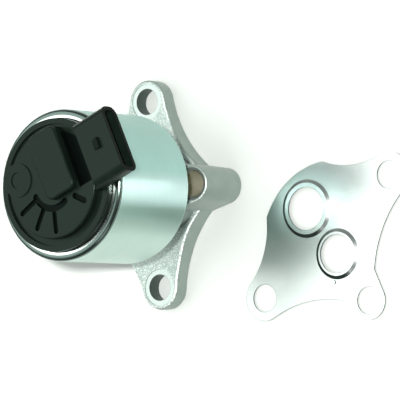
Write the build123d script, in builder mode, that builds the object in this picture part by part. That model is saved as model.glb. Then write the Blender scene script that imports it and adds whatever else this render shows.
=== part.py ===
from build123d import *
import os
from math import asin, atan2, cos, degrees, radians, sin, sqrt

# An electric exhaust-gas-recirculation valve, with its port gasket lying beside it.
# Millimetres. +Z runs up the valve axis, from the mounting face to the sensor cap. The
# origin is the centre of the inlet port on the mounting face. The two ear holes lie on
# +Y and -Y, the tall mounting boss on +X and the outlet port on -X.

# Mounting flange
BOLT_SPACING = 64.0  # ear hole to ear hole, along Y
BOLT_LINE_X = -7.2  # where the line of the ear holes crosses X
BOLT_HOLE_D = 9.0  # clearance for M8
HOLE_CHAMFER = 0.6
EAR_R = 7.4
EAR_T = 5.6
EAR_INNER_DEG = 8.0  # where the flank towards the boss leaves the ear's round
EAR_OUTER_DEG = 168.0  # where the flank towards the outlet leaves it
SPOT_FACE_D = 12.4
SPOT_FACE_DEPTH = 0.3
BODY_T = 7.0  # flange thickness between the ears
RAMP_START_Y = 11.0  # the top falls from BODY_T here ...
RAMP_LENGTH = 15.0  # ... to EAR_T this much further out
PORT_END_R = 29.0  # wide arc round the outlet end
PORT_END_X = -2.5  # centre of that arc
CORNER_Y = 14.3  # half the length of the arc's chord
CORNER_FILLET = 2.0
WAIST_X = 13.3  # corner between flank and boss
WAIST_Y = 7.8
FLANGE_EDGE_FILLET = 1.0
ROOF_FILLET = 2.5

# Tall boss for the third fixing
BOSS_X = 20.0
BOSS_R = 6.1
BOSS_H = 19.7
BOSS_BORE_D = 8.5
BOSS_EDGE_FILLET = 0.6
NUT_RELIEF_R = 8.4  # room to turn a nut on the boss

# Gas ports and the chamber between them
INLET_D = 13.0
OUTLET_D = 14.4
OUTLET_X = -19.6
INLET_LENGTH = 4.0  # straight wall below the valve seat
OUTLET_DEPTH = 12.5
CHAMBER_D = 16.0
CHAMBER_TOP = 16.0
PASSAGE_W = 10.0
PASSAGE_BOTTOM = 7.5
PORT_WALL = 3.0
ROOF_T = 3.5
TOWER_R = 13.2
TOWER_TOP = 21.0

# Three-lobed head that carries the solenoid
HEAD_T = 3.5
LOBE_R = 4.2
SCREW_RING_R = 15.0
SCREW_START_DEG = 60.0
SCREW_COUNT = 3
SCREW_D = 4.0
SCREW_HEAD_D = 6.6
SCREW_CLEARANCE = 0.15  # radial, in the plates it passes
SCREW_HEX_R = 1.7
SCREW_HEX_DEPTH = 1.2
SCREW_HEAD_T = 2.2
SCREW_REACH = 3.2  # thread in the casting
SPACER_T = 2.8

# Seat, pintle and guide
SEAT_T = 3.5
SEAT_THROAT_D = 10.0
SEAT_CHAMFER = 1.2
SEAT_GAP = 0.3  # between the closed pintle and the seat
PINTLE_HEAD_D = 11.8
PINTLE_RIM_T = 0.5
PINTLE_BACK_T = 1.9
NOSE_TIP_D = 7.2
NOSE_LENGTH = 1.9
SHAFT_D = 5.0
SHAFT_SET_BACK = 2.9  # shaft's end below the upper pole's top
LIFT = 4.5
BUSHING_D = 12.0
BUSHING_FLANGE_D = 15.0
BUSHING_FLANGE_T = 1.0
RUNNING_GAP = 0.06  # radial, shaft in bushing
SHIELD_T = 0.8
SHIELD_DROP = 3.2
SHIELD_BORE_R = 2.9

# Solenoid can
CAN_R = 25.0
CAN_H = 38.1
CAN_WALL = 1.4
CAN_FLOOR_T = 1.5
CAN_FLOOR_FILLET = 2.0
CRIMP_T = 1.5
CRIMP_R = 22.2  # inner edge of the rolled lip
CRIMP_BEVEL = 1.4

# Solenoid stack
STACK_GAP = 0.2  # radial, pole plates in the can
POLE_T = 4.0
POLE_SPIGOT_R = 9.3
POLE_SPIGOT_DROP = 1.2
POLE_COLLAR_T = 1.8
LOWER_POLE_BORE_R = 3.2
LOWER_COLLAR_H = 10.0
UPPER_COLLAR_H = 7.5
SLEEVE_R = 9.25
SLEEVE_T = 0.4
FIT = 0.05  # radial, between pieces pressed or slipped together for good
BOBBIN_WALL = 1.0
BOBBIN_FLANGE_T = 1.2
BOBBIN_FLANGE_R = 22.4
COIL_R = 20.6
CAP_SET_DOWN = 5.1  # the upper pole plate lies this far under the can's top
ARMATURE_GAP = 0.08  # radial, armature in sleeve
ARMATURE_FLOOR_GAP = 2.5  # under the armature when the valve is shut
ARMATURE_POCKET_D = 11.6
ARMATURE_POCKET_DEPTH = 4.5
ARMATURE_VENT_D = 2.2
ARMATURE_VENT_RING_R = 7.4
AIR_GAP = 0.7  # armature to upper pole when fully lifted
SPRING_WIRE_D = 0.8
SPRING_R = 4.6
SPRING_TURNS = 5.0
WIRE_SIDES = 8  # flats on the spring wires
POLE_PLUG_L = 2.3
POLE_BORE_R = 3.3
POLE_POCKET_DEPTH = 3.8
RING_T = 0.8
RING_R = 3.6

# Sensor cap
CAP_GAP = 1.7  # from the cap's rim to the can's bore
CAP_SEAL_T = 1.1
CAP_SEAL_W = 2.0
CAP_LIP_W = 1.8
CAP_LIP_H = 2.6  # above the can's lip
CAP_RING_H = 1.6
PLATEAU_R = 17.8
PLATEAU_H = 4.3
CAP_SHELL_T = 1.9
CAP_CAVITY_R = 15.8
RIB_SLOT_W = 1.8
RIB_SLOT_DEPTH = 0.9
RIB_SLOT_INNER_R = 8.0
RIB_SLOT_OUTER_R = 16.3
RIB_SLOT_FIRST_DEG = 212.0
RIB_SLOT_STEP_DEG = 30.0
RIB_SLOT_COUNT = 3
HUB_GROOVE_R = 7.8
HUB_GROOVE_W = 2.2
HUB_GROOVE_FIRST_DEG = 206.0
HUB_GROOVE_DEG = 104.0
SIDE_SLOT_DEG = 333.0
SIDE_SLOT_R = 12.5
SIDE_SLOT_L = 6.2
SIDE_SLOT_W = 2.0
CHANNEL_RIGHT = -6.0  # right end of the channel between block and socket
CHANNEL_FLOOR_T = 1.2
PAD_R = 5.6
PAD_RING_R = 14.2
PAD_DEG = 168.0
PAD_H = 4.8
PAD_DIMPLE_R = 2.7
PAD_DIMPLE_DEPTH = 0.4
CAP_EDGE_FILLET = 0.5
BLOCK_BACK = -2.0  # along the plug's direction
BLOCK_FRONT = 10.2
BLOCK_RIGHT = -5.6  # across it
BLOCK_LEFT = 17.2
BLOCK_H = 7.0
BLOCK_CORNER = 2.6
BLOCK_FILLET = 0.7

# Plug socket on the cap
PLUG_DEG = 20.0
PLUG_REACH = 31.3
PLUG_ROOT = 17.0
PLUG_SIDE = 0.95  # how far the socket stands off the radius
PLUG_W = 23.3
PLUG_H = 7.7
PLUG_ROUND = 3.0
PLUG_RIM_GAP = 0.8  # socket above the can's lip
PLUG_HEEL = 1.6  # slope behind the socket's top
PLUG_HEEL_H = 2.4
PLUG_WALL = 1.35
LATCH_W = 3.6
LATCH_L = 2.8
LATCH_H = 1.1
LATCH_SIDE = 2.0
LATCH_BACK = 5.0  # from the mouth to the latch's steep face
PIN_COUNT = 5
PIN_PITCH = 3.6
PIN_T = 0.8
PIN_W = 1.2
PIN_TIP_BACK = 6.2  # from the mouth to the pin tips
PIN_BEND_IN = 3.9  # the pins bend down this far inside the can's lip
PIN_BACK_WALL = 1.0  # from the pins' bend to the socket's floor
PIN_DROP = 4.9

# Position sensor
SENSOR_WALL = 1.5
SPRING_ROOF_T = 1.1  # cap wall over the plunger's spring
POCKET_LEFT = 12.0
PLUNGER_R = 2.2
PLUNGER_L = 5.2
PLUNGER_COLLAR_R = 3.4
PLUNGER_COLLAR_T = 1.0
PLUNGER_TIP_L = 3.0
PLUNGER_STEM_R = 1.5
PLUNGER_GAP = 0.3  # to the shaft below it
GUIDE_T = 0.9
GUIDE_R = 9.0
GUIDE_TUBE_T = 1.1
GUIDE_TUBE_H = 5.8
GUIDE_SLOT_W = 3.6
SENSOR_SPRING_WIRE_D = 0.36
SENSOR_SPRING_R = 2.3
SENSOR_SPRING_TURNS = 4.0
BOARD_T = 0.8
BOARD_GAP = 0.4  # from the wiper to the board
BOARD_W = 16.8
BOARD_H = 5.6
WIPER_T = 0.3
WIPER_W = 3.0
WIPER_RING_R = 3.1
WIPER_TAB = 1.35
COIL_PIN_D = 1.2
COIL_PIN_REACH = 11.5
COIL_PIN_HOLE_R = 1.0

# Port gasket, lying beside the valve
GASKET_T = 0.4
GASKET_MARGIN = 0.2
GASKET_HOLE_D = 9.4
INLET_BEAD_R = 8.5
OUTLET_BEAD_R = 9.8
BEAD_SLOPE_W = 1.2
BEAD_H = 0.6
GASKET_X = 63.4
GASKET_Y = -27.7
GASKET_TURN = -56.2
NUB_R = 0.7
NUB_H = 0.3
NUB_RING_R = 9.5
NUB_DEG = -47.0

# Heights that follow
HEAD_TOP = TOWER_TOP + HEAD_T
CAN_BOTTOM = HEAD_TOP + SPACER_T
CAN_TOP = CAN_BOTTOM + CAN_H
CAN_INNER_R = CAN_R - CAN_WALL
CAP_R = CAN_INNER_R - CAP_GAP
PLATE_R = CAN_INNER_R - STACK_GAP
LOWER_POLE_Z = CAN_BOTTOM + CAN_FLOOR_T
WINDOW_Z = LOWER_POLE_Z + POLE_T
UPPER_POLE_TOP = CAN_TOP - CAP_SET_DOWN
UPPER_POLE_Z = UPPER_POLE_TOP - POLE_T
WINDOW_H = UPPER_POLE_Z - WINDOW_Z
CAP_Z = UPPER_POLE_TOP + FIT
LIP_UNDERSIDE = CAN_TOP - CRIMP_T
PLATEAU_Z = CAN_TOP + PLATEAU_H
BLOCK_Z = CAN_TOP + BLOCK_H
PLUG_Z = CAN_TOP + PLUG_RIM_GAP
SEAT_TOP = INLET_LENGTH + SEAT_T
SEAT_CONE_Z = SEAT_TOP - SEAT_CHAMFER
SHAFT_TOP = UPPER_POLE_TOP - SHAFT_SET_BACK
POLE_FACE = UPPER_POLE_Z - POLE_PLUG_L
ARMATURE_TOP = POLE_FACE - LIFT - AIR_GAP
ARMATURE_Z = WINDOW_Z + ARMATURE_FLOOR_GAP
ARMATURE_L = ARMATURE_TOP - ARMATURE_Z
SPRING_SEAT_Z = ARMATURE_TOP - ARMATURE_POCKET_DEPTH
SPRING_END_Z = POLE_FACE + POLE_POCKET_DEPTH
CAVITY_TOP = PLATEAU_Z - CAP_SHELL_T
CHANNEL_Z = CAN_TOP + CAP_RING_H
CHANNEL_ROOF = CHANNEL_Z - CHANNEL_FLOOR_T
POCKET_TOP = BLOCK_Z - SENSOR_WALL
SENSOR_SPRING_TOP = PLATEAU_Z - SPRING_ROOF_T
COLLAR_Z = SHAFT_TOP + PLUNGER_GAP + PLUNGER_TIP_L
WIPER_Z = COLLAR_Z + PLUNGER_COLLAR_T + FIT
BOARD_REACH = BLOCK_FRONT - SENSOR_WALL - FIT
PIN_Z = PLUG_Z + PLUG_H / 2
PIN_LOW_Z = PIN_Z - PIN_DROP
PIN_BEND = CRIMP_R - PIN_BEND_IN
SOCKET_FLOOR = PIN_BEND + PIN_BACK_WALL

# The plug's own directions: out along the radius, and across it
PLUG_OUT = Vector(cos(radians(PLUG_DEG)), sin(radians(PLUG_DEG)), 0)
PLUG_ACROSS = Vector(-sin(radians(PLUG_DEG)), cos(radians(PLUG_DEG)), 0)


def plug_level(z):
    """A level plane at height z whose X runs out along the plug."""
    return Plane(origin=(0, 0, z), x_dir=PLUG_OUT, z_dir=(0, 0, 1))


def plug_section(reach):
    """An upright plane across the plug, this far out from the valve axis."""
    return Plane(origin=PLUG_OUT * reach, x_dir=PLUG_ACROSS, z_dir=PLUG_OUT)


def plug_side(across):
    """An upright plane along the plug, this far to its left."""
    return Plane(origin=PLUG_ACROSS * across, x_dir=PLUG_OUT, z_dir=-PLUG_ACROSS)


def screw_places():
    """The three screw positions round the valve axis."""
    return PolarLocations(SCREW_RING_R, SCREW_COUNT, start_angle=SCREW_START_DEG)


def flange_plan(corner_fillet=0, margin=0):
    """The flange seen from above: one wide arc round the outlet end, hollow flanks that
    run to the ears and on to the waist, and the boss's round at the other end. A margin
    widens it all round."""
    corner_y = CORNER_Y + margin
    corner_deg = degrees(asin(corner_y / (PORT_END_R + margin)))
    waist = Vector(WAIST_X, WAIST_Y + margin)
    to_waist = waist - Vector(BOSS_X, 0)
    boss_r = BOSS_R + margin
    tangent_deg = degrees(atan2(to_waist.Y, to_waist.X)) - degrees(
        asin(sqrt(to_waist.length**2 - boss_r**2) / to_waist.length)
    )
    with BuildSketch() as plan:
        with BuildLine():
            ear_at = (BOLT_LINE_X, BOLT_SPACING / 2)
            ear = CenterArc(ear_at, EAR_R + margin, EAR_INNER_DEG, EAR_OUTER_DEG - EAR_INNER_DEG)
            end = CenterArc((PORT_END_X, 0), PORT_END_R + margin, 180 - corner_deg, corner_deg)
            boss = CenterArc((BOSS_X, 0), boss_r, 0, tangent_deg)
            TangentArc(ear @ 1, end @ 0, tangent=ear % 1)
            TangentArc(ear @ 0, waist, tangent=-(ear % 0))
            Line(waist, boss @ 1)
            mirror(about=Plane.XZ)
        make_face()
        if corner_fillet:
            corners = plan.vertices().filter_by(lambda v: abs(abs(v.Y) - corner_y) < 0.01)
            fillet(corners, corner_fillet)
    return plan.sketch


def head_plan(bore_r):
    """The three-lobed seat between casting and can, with a bore round the valve axis."""
    with BuildSketch() as plan:
        Circle(TOWER_R)
        with screw_places():
            Circle(LOBE_R)
        make_hull()
        Circle(bore_r, mode=Mode.SUBTRACT)
        with Locations((BOSS_X, 0)):
            Circle(NUT_RELIEF_R, mode=Mode.SUBTRACT)
    return plan.sketch


def pin_outline(grow):
    """One terminal from the side: in from its tip, down at the bend and on to the board."""
    half = PIN_T / 2 + grow
    tip = PLUG_REACH - PIN_TIP_BACK
    with BuildSketch() as side:
        with BuildLine():
            Polyline(
                (tip, PIN_Z - half),
                (tip, PIN_Z + half),
                (PIN_BEND - half, PIN_Z + half),
                (PIN_BEND - half, PIN_LOW_Z + half),
                (BOARD_REACH + FIT, PIN_LOW_Z + half),
                (BOARD_REACH + FIT, PIN_LOW_Z - half),
                (PIN_BEND + half, PIN_LOW_Z - half),
                (PIN_BEND + half, PIN_Z - half),
                close=True,
            )
        make_face()
    return side.sketch


def pin_sides():
    """How far across the plug each terminal stands."""
    middle = (PIN_COUNT - 1) / 2
    return [PLUG_SIDE + (place - middle) * PIN_PITCH for place in range(PIN_COUNT)]


def coil_pin_places():
    """The two coil pins stand under the outermost terminals."""
    sides = pin_sides()
    return Locations((COIL_PIN_REACH, sides[0]), (COIL_PIN_REACH, sides[-1]))


def bead_ring(hole_r, foot_r):
    """Half of a port bead's section: the sheet climbs from its foot to a raised lip."""
    with BuildSketch() as ring:
        with BuildLine():
            Polyline(
                (hole_r, BEAD_H),
                (foot_r - BEAD_SLOPE_W, BEAD_H),
                (foot_r, 0),
                (foot_r, GASKET_T),
                (foot_r - BEAD_SLOPE_W, BEAD_H + GASKET_T),
                (hole_r, BEAD_H + GASKET_T),
                close=True,
            )
        make_face()
    return ring.sketch


os.makedirs("parts", exist_ok=True)

# The casting: a flange ramped down to its ears, the tall boss, the hump over the gas
# passage, the tower and the three-lobed head, all bored for gas, bolts and bushing
with BuildPart() as valve_base:
    with BuildSketch():
        add(flange_plan(CORNER_FILLET))
    extrude(amount=BODY_T)
    with BuildSketch(Plane.YZ):
        with BuildLine():
            ear_end = BOLT_SPACING / 2 + EAR_R
            ramp_end = RAMP_START_Y + RAMP_LENGTH
            outer = Line((0, 0), (ear_end, 0))
            ear_top = Polyline(outer @ 1, (ear_end, EAR_T), (ramp_end, EAR_T))
            level = [(-1, 0), (-1, 0)]
            ramp = Spline(ear_top @ 1, (RAMP_START_Y, BODY_T), tangents=level)
            Line(ramp @ 1, (0, BODY_T))
            mirror(about=Plane.YZ)
        make_face()
    extrude(amount=2 * PORT_END_R, both=True, mode=Mode.INTERSECT)
    top_faces = valve_base.faces().filter_by(lambda f: f.normal_at().Z > 0.9)
    fillet(top_faces.edges().filter_by(Axis.X, reverse=True), FLANGE_EDGE_FILLET)

    with BuildSketch():
        with Locations((OUTLET_X / 2, 0)):
            SlotCenterToCenter(-OUTLET_X, OUTLET_D + 2 * PORT_WALL)
    extrude(amount=OUTLET_DEPTH + ROOF_T)
    fillet(valve_base.edges().group_by(Axis.Z)[-1], ROOF_FILLET)
    with BuildSketch():
        add(flange_plan())
        with Locations((WAIST_X + BOSS_X / 2, 0)):
            Rectangle(BOSS_X, 2 * BOSS_X, mode=Mode.INTERSECT)
        with Locations((WAIST_X / 2, 0)):
            Rectangle(WAIST_X, 2 * WAIST_Y)
    extrude(amount=BOSS_H)
    fillet(valve_base.edges().group_by(Axis.Z)[-1], BOSS_EDGE_FILLET)
    with BuildSketch():
        Circle(TOWER_R)
    extrude(amount=TOWER_TOP)
    with BuildSketch(Plane.XY.offset(TOWER_TOP)):
        add(head_plan(BUSHING_D / 2))
    extrude(amount=HEAD_T)
    with BuildSketch(Plane.XY.offset(BOSS_H)):
        with Locations((BOSS_X, 0)):
            Circle(NUT_RELIEF_R)
    extrude(amount=TOWER_TOP - BOSS_H, mode=Mode.SUBTRACT)

    with BuildSketch():
        Circle(INLET_D / 2)
    extrude(amount=INLET_LENGTH, mode=Mode.SUBTRACT)
    with BuildSketch(Plane.XY.offset(INLET_LENGTH)):
        Circle(CHAMBER_D / 2)
    extrude(amount=CHAMBER_TOP - INLET_LENGTH, mode=Mode.SUBTRACT)
    with BuildSketch(Plane.XY.offset(CHAMBER_TOP)):
        Circle(BUSHING_D / 2)
    extrude(amount=HEAD_TOP - CHAMBER_TOP, mode=Mode.SUBTRACT)
    with BuildSketch():
        with Locations((OUTLET_X, 0)):
            Circle(OUTLET_D / 2)
    extrude(amount=OUTLET_DEPTH, mode=Mode.SUBTRACT)
    with BuildSketch(Plane.XY.offset(PASSAGE_BOTTOM)):
        with Locations((OUTLET_X / 2, 0)):
            Rectangle(-OUTLET_X, PASSAGE_W)
    extrude(amount=OUTLET_DEPTH - PASSAGE_BOTTOM, mode=Mode.SUBTRACT)

    for ear_y in (BOLT_SPACING / 2, -BOLT_SPACING / 2):
        with Locations((BOLT_LINE_X, ear_y, EAR_T)):
            Hole(SPOT_FACE_D / 2, depth=SPOT_FACE_DEPTH)
            Hole(BOLT_HOLE_D / 2, depth=EAR_T)
    with Locations((BOSS_X, 0, BOSS_H)):
        CounterSinkHole(BOSS_BORE_D / 2, BOSS_BORE_D / 2 + HOLE_CHAMFER, BOSS_H, 90)
    with Locations(Plane.XY.offset(HEAD_TOP)):
        with screw_places():
            Hole(SCREW_D / 2, depth=SCREW_REACH)
valve_base.part.label = "valve_base"
export_step(valve_base.part, "parts/valve_base.step")

# Hardened ring with a conical seat, pressed into the floor of the chamber
with BuildPart() as valve_seat:
    with BuildSketch(Plane.XZ):
        with BuildLine():
            Polyline(
                (SEAT_THROAT_D / 2, INLET_LENGTH),
                (CHAMBER_D / 2 - FIT, INLET_LENGTH),
                (CHAMBER_D / 2 - FIT, SEAT_TOP),
                (SEAT_THROAT_D / 2 + SEAT_CHAMFER, SEAT_TOP),
                (SEAT_THROAT_D / 2, SEAT_CONE_Z),
                close=True,
            )
        make_face()
    revolve(axis=Axis.Z)
valve_seat.part.label = "valve_seat"
export_step(valve_seat.part, "parts/valve_seat.step")

# Pintle: a nose in the seat's throat, a cone over the seat and a long shaft
with BuildPart() as pintle:
    with BuildSketch(Plane.XZ):
        with BuildLine():
            nose_r = SEAT_THROAT_D / 2 - SEAT_GAP
            cone_z = SEAT_CONE_Z - SEAT_GAP + SEAT_GAP * sqrt(2)
            rim_z = cone_z + PINTLE_HEAD_D / 2 - nose_r
            back_z = rim_z + PINTLE_RIM_T + PINTLE_BACK_T
            Polyline(
                (0, cone_z - NOSE_LENGTH),
                (NOSE_TIP_D / 2, cone_z - NOSE_LENGTH),
                (nose_r, cone_z),
                (PINTLE_HEAD_D / 2, rim_z),
                (PINTLE_HEAD_D / 2, rim_z + PINTLE_RIM_T),
                (SHAFT_D / 2, back_z),
                (SHAFT_D / 2, SHAFT_TOP - HOLE_CHAMFER),
                (SHAFT_D / 2 - HOLE_CHAMFER, SHAFT_TOP),
                (0, SHAFT_TOP),
                close=True,
            )
        make_face()
    revolve(axis=Axis.Z)
pintle.part.label = "pintle"
export_step(pintle.part, "parts/pintle.step")

# Pressed cup that keeps soot out of the bushing
with BuildPart() as soot_shield:
    with BuildSketch(Plane.XY.offset(CHAMBER_TOP - SHIELD_DROP)):
        Circle(CHAMBER_D / 2 - FIT)
    extrude(amount=SHIELD_DROP)
    with BuildSketch(Plane.XY.offset(CHAMBER_TOP - SHIELD_DROP)):
        Circle(CHAMBER_D / 2 - FIT - SHIELD_T)
    extrude(amount=SHIELD_DROP - SHIELD_T, mode=Mode.SUBTRACT)
    with Locations((0, 0, CHAMBER_TOP)):
        Hole(SHIELD_BORE_R, depth=SHIELD_T)
soot_shield.part.label = "soot_shield"
export_step(soot_shield.part, "parts/soot_shield.step")

# Flanged bushing that guides the shaft through the head
with BuildPart() as shaft_bushing:
    with BuildSketch(Plane.XY.offset(CHAMBER_TOP)):
        Circle(BUSHING_D / 2 - FIT)
    extrude(amount=HEAD_TOP - CHAMBER_TOP)
    with BuildSketch(Plane.XY.offset(HEAD_TOP)):
        Circle(BUSHING_FLANGE_D / 2)
    extrude(amount=BUSHING_FLANGE_T)
    with Locations((0, 0, HEAD_TOP + BUSHING_FLANGE_T)):
        Hole(SHAFT_D / 2 + RUNNING_GAP, depth=HEAD_TOP - CHAMBER_TOP + BUSHING_FLANGE_T)
shaft_bushing.part.label = "shaft_bushing"
export_step(shaft_bushing.part, "parts/shaft_bushing.step")

# Three-lobed plate that keeps the casting's heat off the solenoid
with BuildPart() as insulating_spacer:
    with BuildSketch(Plane.XY.offset(HEAD_TOP)):
        add(head_plan(POLE_SPIGOT_R + FIT))
        with screw_places():
            Circle(SCREW_D / 2 + SCREW_CLEARANCE, mode=Mode.SUBTRACT)
    extrude(amount=SPACER_T)
insulating_spacer.part.label = "insulating_spacer"
export_step(insulating_spacer.part, "parts/insulating_spacer.step")

# Drawn steel can with a bored floor and a lip rolled in over the cap's foot
with BuildPart() as solenoid_can:
    with BuildSketch(Plane.XZ):
        with BuildLine():
            floor = Line((POLE_SPIGOT_R + FIT, CAN_BOTTOM), (CAN_R - CAN_FLOOR_FILLET, CAN_BOTTOM))
            turn = RadiusArc(floor @ 1, (CAN_R, CAN_BOTTOM + CAN_FLOOR_FILLET), -CAN_FLOOR_FILLET)
            Polyline(
                turn @ 1,
                (CAN_R, CAN_TOP - CRIMP_BEVEL),
                (CAN_R - CRIMP_BEVEL, CAN_TOP),
                (CRIMP_R, CAN_TOP),
                (CRIMP_R, LIP_UNDERSIDE),
                (CAN_INNER_R, LIP_UNDERSIDE),
                (CAN_INNER_R, LOWER_POLE_Z),
                (POLE_SPIGOT_R + FIT, LOWER_POLE_Z),
                floor @ 0,
            )
        make_face()
    revolve(axis=Axis.Z)
    with Locations(Plane.XY.offset(LOWER_POLE_Z)):
        with screw_places():
            Hole(SCREW_D / 2 + SCREW_CLEARANCE, depth=CAN_FLOOR_T)
solenoid_can.part.label = "solenoid_can"
export_step(solenoid_can.part, "parts/solenoid_can.step")

# Three screws that hold the solenoid down on the casting
with BuildPart() as can_screws:
    with Locations(Plane.XY.offset(WINDOW_Z - SCREW_HEAD_T)):
        with screw_places():
            Cylinder(SCREW_HEAD_D / 2, SCREW_HEAD_T, align=(Align.CENTER, Align.CENTER, Align.MIN))
    with Locations(Plane.XY.offset(HEAD_TOP - SCREW_REACH)):
        with screw_places():
            shank_l = WINDOW_Z - SCREW_HEAD_T - HEAD_TOP + SCREW_REACH
            Cylinder(SCREW_D / 2 - FIT, shank_l, align=(Align.CENTER, Align.CENTER, Align.MIN))
    with BuildSketch(Plane.XY.offset(WINDOW_Z)):
        with screw_places():
            RegularPolygon(SCREW_HEX_R, 6)
    extrude(amount=-SCREW_HEX_DEPTH, mode=Mode.SUBTRACT)
can_screws.part.label = "can_screws"
export_step(can_screws.part, "parts/can_screws.step")

# Lower pole: a plate with a spigot through the can's floor and a collar round the sleeve
with BuildPart() as lower_pole:
    with BuildSketch(Plane.XY.offset(LOWER_POLE_Z)):
        Circle(PLATE_R)
    extrude(amount=POLE_T)
    with BuildSketch(Plane.XY.offset(CAN_BOTTOM - POLE_SPIGOT_DROP)):
        Circle(POLE_SPIGOT_R)
    extrude(amount=LOWER_POLE_Z - CAN_BOTTOM + POLE_SPIGOT_DROP)
    with BuildSketch(Plane.XY.offset(WINDOW_Z)):
        Circle(SLEEVE_R + SLEEVE_T + FIT + POLE_COLLAR_T)
        Circle(SLEEVE_R + SLEEVE_T + FIT, mode=Mode.SUBTRACT)
    extrude(amount=LOWER_COLLAR_H)
    with Locations((0, 0, WINDOW_Z)):
        Hole(LOWER_POLE_BORE_R, depth=WINDOW_Z - CAN_BOTTOM + POLE_SPIGOT_DROP)
    with Locations(Plane.XY.offset(WINDOW_Z)):
        with screw_places():
            CounterBoreHole(
                SCREW_D / 2 + SCREW_CLEARANCE, SCREW_HEAD_D / 2 + SCREW_CLEARANCE, SCREW_HEAD_T, POLE_T
            )
lower_pole.part.label = "lower_pole"
export_step(lower_pole.part, "parts/lower_pole.step")

# Thin brass tube in which the armature slides
with BuildPart() as guide_sleeve:
    with BuildSketch(Plane.XY.offset(WINDOW_Z)):
        Circle(SLEEVE_R + SLEEVE_T)
        Circle(SLEEVE_R, mode=Mode.SUBTRACT)
    extrude(amount=WINDOW_H)
guide_sleeve.part.label = "guide_sleeve"
export_step(guide_sleeve.part, "parts/guide_sleeve.step")

# Bobbin between the two pole plates
with BuildPart() as bobbin:
    with BuildSketch(Plane.XZ):
        with BuildLine():
            tube_r = SLEEVE_R + SLEEVE_T + POLE_COLLAR_T + 2 * FIT
            Polyline(
                (tube_r, WINDOW_Z + FIT),
                (BOBBIN_FLANGE_R, WINDOW_Z + FIT),
                (BOBBIN_FLANGE_R, WINDOW_Z + BOBBIN_FLANGE_T),
                (tube_r + BOBBIN_WALL, WINDOW_Z + BOBBIN_FLANGE_T),
                (tube_r + BOBBIN_WALL, UPPER_POLE_Z - BOBBIN_FLANGE_T),
                (BOBBIN_FLANGE_R, UPPER_POLE_Z - BOBBIN_FLANGE_T),
                (BOBBIN_FLANGE_R, UPPER_POLE_Z - FIT),
                (tube_r, UPPER_POLE_Z - FIT),
                close=True,
            )
        make_face()
    revolve(axis=Axis.Z)
bobbin.part.label = "bobbin"
export_step(bobbin.part, "parts/bobbin.step")

# Copper winding on the bobbin
with BuildPart() as coil:
    with BuildSketch(Plane.XY.offset(WINDOW_Z + BOBBIN_FLANGE_T + FIT)):
        Circle(COIL_R)
        Circle(tube_r + BOBBIN_WALL + FIT, mode=Mode.SUBTRACT)
    extrude(amount=WINDOW_H - 2 * BOBBIN_FLANGE_T - 2 * FIT)
coil.part.label = "coil"
export_step(coil.part, "parts/coil.step")

# Upper pole: a plate, a plug that closes the sleeve and a collar round it, with a pocket
# for the return spring and holes for the shaft and the coil's pins
with BuildPart() as upper_pole:
    with BuildSketch(Plane.XY.offset(UPPER_POLE_Z)):
        Circle(PLATE_R)
    extrude(amount=POLE_T)
    with BuildSketch(Plane.XY.offset(UPPER_POLE_Z)):
        Circle(SLEEVE_R + SLEEVE_T + FIT + POLE_COLLAR_T)
        Circle(SLEEVE_R + SLEEVE_T + FIT, mode=Mode.SUBTRACT)
    extrude(amount=-UPPER_COLLAR_H)
    with BuildSketch(Plane.XY.offset(POLE_FACE)):
        Circle(SLEEVE_R - FIT)
    extrude(amount=POLE_PLUG_L)
    with BuildSketch(Plane.XY.offset(POLE_FACE)):
        Circle(ARMATURE_POCKET_D / 2)
    extrude(amount=POLE_POCKET_DEPTH, mode=Mode.SUBTRACT)
    with Locations((0, 0, UPPER_POLE_TOP)):
        Hole(POLE_BORE_R, depth=UPPER_POLE_TOP - POLE_FACE)
    with BuildSketch(plug_level(UPPER_POLE_TOP)):
        with coil_pin_places():
            Circle(COIL_PIN_HOLE_R)
    extrude(amount=-POLE_T, mode=Mode.SUBTRACT)
upper_pole.part.label = "upper_pole"
export_step(upper_pole.part, "parts/upper_pole.step")

# Armature: soft iron, with a spring pocket, the shaft's bore and three vents
with BuildPart() as armature:
    with BuildSketch(Plane.XY.offset(ARMATURE_Z)):
        Circle(SLEEVE_R - ARMATURE_GAP)
        Circle(SHAFT_D / 2 + FIT, mode=Mode.SUBTRACT)
        with PolarLocations(ARMATURE_VENT_RING_R, 3):
            Circle(ARMATURE_VENT_D / 2, mode=Mode.SUBTRACT)
    extrude(amount=ARMATURE_L)
    with Locations((0, 0, ARMATURE_TOP)):
        Hole(ARMATURE_POCKET_D / 2, depth=ARMATURE_POCKET_DEPTH)
armature.part.label = "armature"
export_step(armature.part, "parts/armature.step")

# Ring that holds the armature on the shaft
with BuildPart() as armature_ring:
    with BuildSketch(Plane.XY.offset(SPRING_SEAT_Z)):
        Circle(RING_R)
        Circle(SHAFT_D / 2 + FIT, mode=Mode.SUBTRACT)
    extrude(amount=RING_T)
armature_ring.part.label = "armature_ring"
export_step(armature_ring.part, "parts/armature_ring.step")

# Spring that closes the valve, between the armature and the upper pole
with BuildPart() as return_spring:
    with BuildLine():
        coil_h = SPRING_END_Z - SPRING_SEAT_Z - SPRING_WIRE_D
        wire = Helix(coil_h / SPRING_TURNS, coil_h, SPRING_R, (0, 0, SPRING_SEAT_Z + SPRING_WIRE_D / 2))
    with BuildSketch(Plane(origin=wire @ 0, z_dir=wire % 0)):
        RegularPolygon(SPRING_WIRE_D / 2, WIRE_SIDES)
    sweep(is_frenet=True)
return_spring.part.label = "return_spring"
export_step(return_spring.part, "parts/return_spring.step")

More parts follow.
